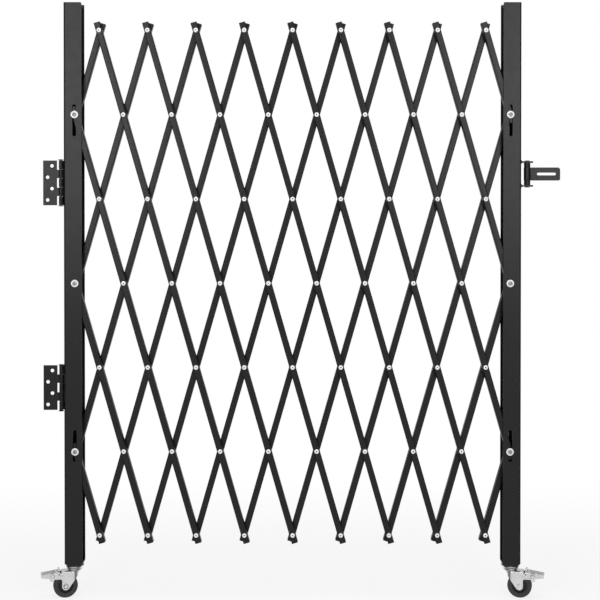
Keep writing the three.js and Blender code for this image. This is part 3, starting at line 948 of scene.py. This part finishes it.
# Fork: the tilt of its front edge is a share of a quarter turn
yoke_drop = 0.0032
yoke_top = crown_top - yoke_drop
fork_wall = 0.0025
fork_inner = 0.0125
fork_outer = fork_inner + fork_wall
fork_ease = 0.0004
fork_nose = 0.010
fork_nose_drop = 0.003
fork_crown_round = 0.0040
fork_boss = 0.0095
fork_arm_fillet = 0.00475
fork_arch_height = 0.050
fork_edge_tilt = 30 / 90
fork_slot_depth = 0.005
fork_slot_length = 0.0036
housing_near = -0.0386
housing_far = -0.0444
housing_half = 0.010
housing_rise = 0.0024
housing_round = 0.0012
spot_out = 0.041
spot_height = 0.0622
spot_radius = 0.0016
stud_out = 0.035
stud_height = 0.0585
stud_radius = 0.0023
stud_half = 0.0012
stud_round = 0.0006
stud_seat = 0.0036
brake_seat = 0.0060
axle_seat = 0.0074
seat_depth = 0.0011

# Wheel: outlines of radius and height along Y, counted from the hub's face and the tyre's corners
wheel_radius = 0.031
wheel_trail = 0.024
hub_radius = 0.0195
hub_half = 0.010
hub_recess = (
    (0.0078, 0), (0.0082, -0.0004), (0.0088, -0.0034), (0.0160, -0.0034), (0.0170, -0.0008),
    (0.0176, -0.0002), (hub_radius, -0.0002),
)
tyre_half = 0.011
tyre_inner_edge = ((0, -0.0016), (0.0016, -0.0014), (0.0026, -0.0004), (0.0036, 0))
tyre_shoulder = (
    (-0.0050, 0), (-0.0046, -0.0003), (-0.0042, 0), (-0.0030, -0.0002), (-0.0013, -0.0012),
    (-0.0004, -0.0028), (0, -0.0048),
)

# Axle: the head's outline of radius and height from its top
axle_radius = 0.004
axle_head_radius = 0.0062
axle_head_height = 0.0032
axle_head = (
    (0, -0.0004), (0.0022, -0.0006), (0.0030, -0.0012), (0.0032, -0.0026), (0.0044, -0.0026),
    (0.0047, -0.0006), (0.0053, 0), (0.0060, -0.0008), (axle_head_radius, -0.0020),
)
axle_shank_rise = 0.003
axle_nut_radius = 0.0065
axle_nut_height = 0.003
axle_point_radius = 0.0032
axle_point = 0.0008
axle_point_ease = 0.0003

# Brake: its pin, and the pedal measured from the pin
brake_out = 0.057
brake_height = 0.058
brake_boss = 0.008
brake_pin = 0.003
brake_head_radius = 0.005
brake_head_height = 0.002
brake_head_round = 0.0012
brake_dent_radius = 0.0020
brake_dent_depth = 0.0012
brake_dent_tool = 0.0014
pedal_tip = -0.029
pedal_heel = 0.012
pedal_top = 0.0119
pedal_slope = 0.0056
pedal_tip_top = pedal_top - pedal_slope
pedal_sheet = 0.0016
pedal_skirt = 0.009
pedal_ease = 0.0006
pedal_half = fork_inner - seat_gap
cheek_sheet = 0.0025
cheek_boss = 0.0065
cheek_toe = 0.0050
cheek_back = 0.0007
shoe_drop = 0.0135
shoe_height = 0.005
shoe_back = 0.0015
tread_slot_near = 0.005
tread_slot_far = 0.006
tread_slot_half = 0.0016
tread_slot_share = 0.52
tread_ease = 0.0004


def arc(x, y, radius, start, end, steps):
    """Points of an arc, its angles in quarter turns."""
    angles = [(start + (end - start) * i / steps) * turn / 4 for i in range(steps + 1)]
    return [(x + radius * math.cos(a), y + radius * math.sin(a)) for a in angles]


def nose_plan(far, half):
    """The fork's plan at one of its faces: open at the far end, a half circle round the nose."""
    return [(far, -half), *arc(fork_nose - fork_outer, 0, half, -1, 1, steps=20), (far, half)]


def fork_shell():
    """The crown and both sides as one drawn sheet with a round nose and a rounded rim."""
    far = -brake_out - brake_boss - overrun
    bm = prism([(x, y, yoke_top) for x, y in nose_plan(far, fork_outer)], (0, 0, -yoke_top))
    rim = [e for e in sharp_edges(bm) if all(v.co.z > yoke_top - tiny for v in e.verts)]
    rim = [e for e in rim if not all(v.co.x < far + tiny for v in e.verts)]
    round_edges(bm, rim, fork_crown_round, segments=5)
    open_faces = [
        f for f in bm.faces
        if all(v.co.z < tiny for v in f.verts) or all(v.co.x < far + tiny for v in f.verts)
    ]
    bmesh.ops.delete(bm, geom=open_faces, context="FACES")
    facing_out(bm)
    crown = max(bm.faces, key=lambda face: face.calc_center_median().z)
    return facing_out(walled(bm, crown, (0, 0, 1), fork_wall))


def fork_side_outline():
    """The fork seen from its side: axle boss, rising front edge, crown, brake arm and throat."""
    throat = -wheel_trail - fork_boss - fork_arm_fillet
    shelf = brake_height - brake_boss - fork_arm_fillet
    nose_low = crown_bottom - fork_nose_drop
    return [
        *arc(-wheel_trail, wheel_radius, fork_boss, 2, 4 - fork_edge_tilt, steps=14),
        (fork_nose / 2, fork_arch_height + fork_arm_fillet),
        (fork_nose, nose_low),
        (fork_nose + overrun, nose_low),
        (fork_nose + overrun, crown_top + overrun),
        (housing_far, crown_top + overrun),
        (housing_far, yoke_top),
        *arc(-brake_out, brake_height, brake_boss, 1, 3, steps=12),
        *arc(throat, shelf, fork_arm_fillet, 1, 0, steps=6),
    ]


def fork_crown():
    """The round crown that carries the ball race, dished down into the yoke."""
    low = crown_top - crown_depth
    rim = shifted(crown_rim, crown_top, crown_radius)
    return turned([(0, low), (fork_nose, low), *rim, (0, crown_top - crown_round)], steps=56)


def fork_seats():
    """Cutters for the shallow seats of the stud, the brake's pin and the axle on both sides."""
    seats = []
    for x, z, radius in (
        (-stud_out, stud_height, stud_seat),
        (-brake_out, brake_height, brake_seat),
        (-wheel_trail, wheel_radius, axle_seat),
    ):
        for side in (-1, 1):
            seat = rod(radius, -seat_depth, seat_depth, axis="Y")
            seats.append(moved(seat, x, side * fork_outer, z))
    return seats


def fork():
    """The drawn sheet cut to its side outline, with the crown, the brake arm's gap and all its holes."""
    wide = fork_outer + overrun
    mask = side_prism(fork_side_outline(), -wide, wide)
    far = pedal_tip - brake_out
    hollow = prism([(x, y, 0) for x, y in nose_plan(far, fork_inner)], (0, 0, yoke_top - fork_wall))
    body = joined(shared(fork_shell(), mask), cut_by(fork_crown(), hollow))
    arm_gap = block((far, -fork_inner, 0), (housing_far, fork_inner, crown_top + overrun))
    slot_far = housing_near + fork_slot_length
    slot = block((housing_near, -wide, yoke_top - fork_slot_depth), (slot_far, wide, crown_top))
    spot = cross_bore(spot_radius, wide, -spot_out, spot_height, steps=20)
    hole = rod(stem_bore, crown_bottom - overrun, crown_top + overrun)
    axle = cross_bore(axle_radius + bore_gap, wide, -wheel_trail, wheel_radius)
    pivot = cross_bore(brake_pin + bore_gap, wide, -brake_out, brake_height)
    body = cut_by(body, arm_gap, slot, spot, *fork_seats(), hole, axle, pivot)
    return eased(body, fork_ease, degrees=50)


def fork_details():
    """Swivel race, brake housing and small rivets that sit on the fork."""
    race_top = cup_high.z - race_drop - seat_gap
    race = rounded_rod(race_radius, crown_top, race_top, race_round, steps=40, axis="Z")
    race = cut_by(race, rod(stem_bore, 0, race_top + overrun))
    low = (housing_far, -housing_half, yoke_top - seat_gap)
    high = (housing_near, housing_half, crown_top + housing_rise)
    details = [race, eased(block(low, high), housing_round, segments=3)]
    for side in (-1, 1):
        stud = rounded_rod(stud_radius, -stud_half, stud_half, stud_round, steps=20)
        details.append(moved(stud, -stud_out, side * (fork_outer - stud_half / 2), stud_height))
    return added(*details)


def swivel_cup():
    """The drawn zinc cup over the ball race, with a rolled lower rim."""
    roof = cup_high.z - cup_shell
    profile = [
        (stem_bore, roof),
        (stem_bore, cup_high.z),
        *shifted(cup_shoulder, cup_high.z, cup_radius),
        *shifted(cup_rim, cup_low.z, cup_low_radius),
        (race_radius + race_room, roof - cup_fillet),
    ]
    return turned(profile, steps=56, closed=True)


def foot_plug():
    body = rod(plug_radius, plug_low.z, plug_high.z, steps=56)
    body = eased(body, plug_round, segments=3)
    return cut_by(body, rod(stem_bore, plug_low.z - overrun, plug_high.z + overrun))


def stem():
    """The swivel stem with its hexagon head under the crown and its nut inside the post."""
    low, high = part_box("left_stem")
    nut_low = post_low.z + floor_plate + seat_gap
    head = hexagon(stem_head_radius, low.z, low.z + stem_head_height, axis="Z")
    nut = hexagon(stem_nut_radius, nut_low, nut_low + stem_nut_height, axis="Z")
    shaft = rounded_rod(stem_radius, low.z, high.z, stem_round, axis="Z")
    return added(eased(head, hexagon_ease, degrees=30), eased(nut, hexagon_ease, degrees=30), shaft)


def axle_bolt():
    """Axle along Y with a ringed head in front, and a nut and the bolt's point behind."""
    face = fork_outer + seat_gap
    nut_end = -face - axle_nut_height
    shank = rod(axle_radius, -face, face + axle_shank_rise, axis="Y")
    head = [*shifted(axle_head, face + axle_head_height), (axle_head_radius, face), (0, face)]
    nut = eased(hexagon(axle_nut_radius, nut_end, -face), hexagon_ease, degrees=30)
    point = rounded_rod(axle_point_radius, nut_end - axle_point, nut_end, axle_point_ease)
    return added(shank, turned(head, steps=40, axis="Y"), nut, point)


def brake_rivet():
    """The pin of the brake pedal, with a dented head on both sides."""
    face = fork_outer + seat_gap
    top = face + brake_head_height
    dent_middle = top - brake_dent_depth + brake_dent_tool
    pieces = [rod(brake_pin, -face, face, steps=24, axis="Y")]
    for side, head in zip((-1, 1), rod_pair(brake_head_radius, face, top, brake_head_round)):
        dent = rod(brake_dent_radius, -brake_dent_tool, brake_dent_tool, steps=20, axis="Y")
        pieces.append(cut_by(head, raised(dent, side * dent_middle, "Y")))
    return added(*pieces)


def wheel_ring(side, steps):
    """A ring about Y from the outline of one side, with the other side alike."""
    profile = [(r, -h) for r, h in side] + [(r, h) for r, h in reversed(side)]
    return turned(profile, steps, "Y", closed=True)


def hub():
    """Plastic wheel centre with a recess round the bore on both sides."""
    return wheel_ring([(axle_radius + bore_gap, hub_half), *shifted(hub_recess, hub_half)], steps=64)


def tyre():
    """Rubber tread with rounded shoulders and a shallow moulded ring on its sides."""
    inner = shifted(tyre_inner_edge, tyre_half, hub_radius + seat_gap)
    return wheel_ring(inner + shifted(tyre_shoulder, tyre_half, wheel_radius), steps=72)


def pedal():
    """The brake pedal about its pin, without its tread: tip, two cheeks and the brake shoe."""
    tip_top = pedal_tip_top - seat_gap
    tip_low = pedal_tip_top - pedal_skirt
    lip = block((pedal_tip, -pedal_half, tip_low), (pedal_tip + pedal_sheet, pedal_half, tip_top))
    outline = [
        (pedal_tip + seat_gap, tip_top),
        (pedal_tip + seat_gap, tip_low),
        (-cheek_boss, -cheek_boss),
        (-cheek_toe, -shoe_drop),
        (cheek_back, -shoe_drop),
        (cheek_back, -cheek_boss),
        *arc(0, 0, cheek_boss, -0.5, 0.5, steps=6),
        (pedal_heel, pedal_top - pedal_skirt),
        (pedal_heel, pedal_top - seat_gap),
    ]
    cheeks = []
    for y in (-pedal_half, pedal_half - cheek_sheet):
        cheeks.append(side_prism(outline, y, y + cheek_sheet))
    shoe = block((-cheek_boss, -pedal_half, -shoe_drop), (shoe_back, pedal_half, shoe_height - shoe_drop))
    bore = cross_bore(brake_pin + bore_gap, pedal_half + overrun, 0, 0)
    return eased(cut_by(joined(lip, *cheeks, shoe), bore), pedal_ease, degrees=50, segments=3)


def pedal_tread():
    """The sloping top of the pedal, with long slots pressed through it."""
    outline = [
        (pedal_tip, pedal_tip_top - pedal_sheet),
        (pedal_heel, pedal_top - pedal_sheet),
        (pedal_heel, pedal_top),
        (pedal_tip, pedal_tip_top),
    ]
    tread = side_prism(outline, -pedal_half, pedal_half)
    near, far = pedal_tip + tread_slot_near, pedal_heel - tread_slot_far
    slots = []
    for step in (-1, 0, 1):
        y = step * pedal_half * tread_slot_share
        slots.append(block((near, y - tread_slot_half, 0), (far, y + tread_slot_half, pedal_top + overrun)))
    return eased(cut_by(tread, *slots), tread_ease, degrees=50)


def add_caster(side):
    swivel = joint_place(f"{side}_caster_swivel")
    wheel = joint_place(f"{side}_wheel_roll")
    angle = math.atan2(-(wheel.y - swivel.y), -(wheel.x - swivel.x))
    foot = Matrix.Translation((swivel.x, gate_y, 0))
    caster = foot @ Matrix.Rotation(angle, 4, "Z")
    post, body = f"{side}_post", f"{side}_caster"
    at_wheel = caster @ Matrix.Translation((-wheel_trail, 0, wheel_radius))
    at_brake = caster @ Matrix.Translation((-brake_out, 0, brake_height))

    def add(name, bm, material, carrier, slot, place):
        add_piece(f"{side}_{name}_body", bm, material, carrier, [f"{side}_{name}"], place, crease=40)

    add("foot_plug", foot_plug(), plastic, post, "plug_plastic", foot)
    add("swivel_cup", swivel_cup(), zinc, post, "caster_zinc", foot)
    add("stem", stem(), zinc, post, "caster_zinc", foot)
    add("fork", added(fork(), fork_details()), zinc, body, "caster_zinc", caster)
    add("axle", axle_bolt(), zinc, body, "caster_zinc", at_wheel)
    add("brake_pin", brake_rivet(), zinc, body, "caster_zinc", at_brake)
    add("wheel_hub", hub(), plastic, f"{side}_wheel", "hub_plastic", at_wheel)
    add("tyre", tyre(), rubber, f"{side}_wheel", "tread_rubber", at_wheel)
    add("brake_pedal", pedal(), zinc, f"{side}_pedal", "caster_zinc", at_brake)
    # The tread is drawn in the darker zinc, painted shade on the pedal's top.
    tread_name = f"{side}_brake_pedal_tread"
    add_piece(tread_name, pedal_tread(), shaded_tread_zinc, f"{side}_pedal", [], at_brake)


add_posts()
add_lattice()
add_bolts()
for level in ("upper", "lower"):
    add_hinge(level)
add_hasp()
for side in ("left", "right"):
    add_caster(side)


# Studio: pale floor, white surroundings, soft lamps and the camera
white = (1, 1, 1, 1)
floor_size = 12.0
floor_colour = (0.82, 0.82, 0.82, 1)
floor_roughness = 0.9
floor_sheen = 0.1
floor_stretch = (0.5, 1, 1)
floor_near = 0.35
floor_far = 1.5
floor_near_white = 0.8
mirror_start = -0.35
mirror_end = 0.05
world_light = 0.5
room_level = 0.2
backdrop_start = 0.1
backdrop_end = 0.5
softbox_place = Vector((1.25, -3.3, 1.6))
softbox_target = Vector((0.3, 0, 1.0))
softbox_size = (1.1, 1.6)
softbox_power = 32
top_place = Vector((0, -0.5, 3.1))
top_target = Vector((0, -0.1, 0))
top_size = (2.4, 1.4)
top_power = 30
camera_height = 1.0
camera_distance = 3.2
camera_tilt = 0.64
lens_length = 75.3
frame_shift = -0.13
sensor = 36.0


def smooth_step(tree, value, start, end, low=0.0):
    """Rises softly from low to one while the value goes from start to end."""
    inputs = {"Value": value, "From Min": start, "From Max": end, "To Min": low, "To Max": 1.0}
    return add_node(tree, "MapRange", inputs, interpolation_type="SMOOTHSTEP").outputs["Result"]


def combined(tree, operation, first, second):
    return add_node(tree, "Math", {0: first, 1: second}, operation=operation).outputs["Value"]


def mixed(tree, share, first, second):
    """The second shader in this share, over the first."""
    return add_node(tree, "MixShader", {"Fac": share, 1: first, 2: second}).outputs["Shader"]


def sight(tree):
    """One for the rays that see the studio straight on or through the gate, nought for the others."""
    path = add_node(tree, "LightPath")
    return combined(tree, "MAXIMUM", path.outputs["Is Camera Ray"], path.outputs["Is Transmission Ray"])


def glossy_sight(tree):
    """One for the rays that see the studio mirrored in metal."""
    return add_node(tree, "LightPath").outputs["Is Glossy Ray"]


def pale_floor():
    """Matt pale floor, white to the camera away from the gate and in mirrors behind it."""
    material = bpy.data.materials.new("pale_floor")
    material.use_nodes = True
    tree = material.node_tree
    shader = tree.nodes["Principled BSDF"]
    shader.inputs["Base Color"].default_value = floor_colour
    shader.inputs["Roughness"].default_value = floor_roughness
    shader.inputs["Specular IOR Level"].default_value = floor_sheen
    glow = add_node(tree, "Emission", {"Color": white})
    place = add_node(tree, "TexCoord").outputs["Object"]
    stretched = add_node(tree, "Mapping", {"Vector": place, "Scale": floor_stretch})
    distance = add_node(tree, "VectorMath", {0: stretched.outputs["Vector"]}, operation="LENGTH")
    fade = smooth_step(tree, distance.outputs["Value"], floor_near, floor_far, floor_near_white)
    axes = add_node(tree, "SeparateXYZ", {"Vector": place})
    behind = smooth_step(tree, axes.outputs["Y"], mirror_start, mirror_end)
    mirrored = combined(tree, "MULTIPLY", glossy_sight(tree), behind)
    seen = combined(tree, "MAXIMUM", sight(tree), mirrored)
    share = combined(tree, "MULTIPLY", fade, seen)
    surface = mixed(tree, share, shader.outputs["BSDF"], glow.outputs["Emission"])
    tree.links.new(surface, tree.nodes["Material Output"].inputs["Surface"])
    return material


def add_floor():
    bm = bmesh.new()
    bmesh.ops.create_grid(bm, x_segments=1, y_segments=1, size=floor_size / 2)
    floor = mesh_object("floor", bm)
    floor.data.materials.append(pale_floor())


def background(tree, level):
    return add_node(tree, "Background", {"Color": white, "Strength": level}).outputs["Background"]


def add_world():
    """White to the camera and in mirrors of the backdrop, an even grey as light, dim behind the camera."""
    world = bpy.data.worlds.new("studio")
    bpy.context.scene.world = world
    world.use_nodes = True
    tree = world.node_tree
    light = tree.nodes["Background"]
    light.inputs["Color"].default_value = white
    light.inputs["Strength"].default_value = world_light
    bright = background(tree, 1.0)
    axes = add_node(tree, "SeparateXYZ", {"Vector": add_node(tree, "TexCoord").outputs["Generated"]})
    backdrop = smooth_step(tree, axes.outputs["Y"], backdrop_start, backdrop_end)
    room = mixed(tree, backdrop, background(tree, room_level), bright)
    lit = mixed(tree, glossy_sight(tree), light.outputs["Background"], room)
    surface = mixed(tree, sight(tree), lit, bright)
    tree.links.new(surface, tree.nodes["World Output"].inputs["Surface"])


def add_lamp(name, place, target, size, power):
    data = bpy.data.lights.new(name, "AREA")
    data.shape = "RECTANGLE"
    data.size, data.size_y = size
    data.energy = power
    lamp = bpy.data.objects.new(name, data)
    lamp.location = place
    lamp.rotation_euler = (target - place).to_track_quat("-Z", "Y").to_euler()
    bpy.context.scene.collection.objects.link(lamp)


def add_camera():
    data = bpy.data.cameras.new("camera")
    data.sensor_width = sensor
    data.lens = lens_length
    data.shift_y = frame_shift
    camera = bpy.data.objects.new("camera", data)
    camera.location = (0, gate_y - half_post - camera_distance, camera_height)
    camera.rotation_euler = (turn / 4 - math.radians(camera_tilt), 0, 0)
    bpy.context.scene.collection.objects.link(camera)
    bpy.context.scene.camera = camera


add_floor()
add_world()
for name, side in (("left_softbox", -1), ("right_softbox", 1)):
    mirror = Matrix.Diagonal((side, 1, 1))
    add_lamp(name, mirror @ softbox_place, mirror @ softbox_target, softbox_size, softbox_power)
add_lamp("top_softbox", top_place, top_target, top_size, top_power)
add_camera()
bpy.context.scene.view_settings.view_transform = "Standard"
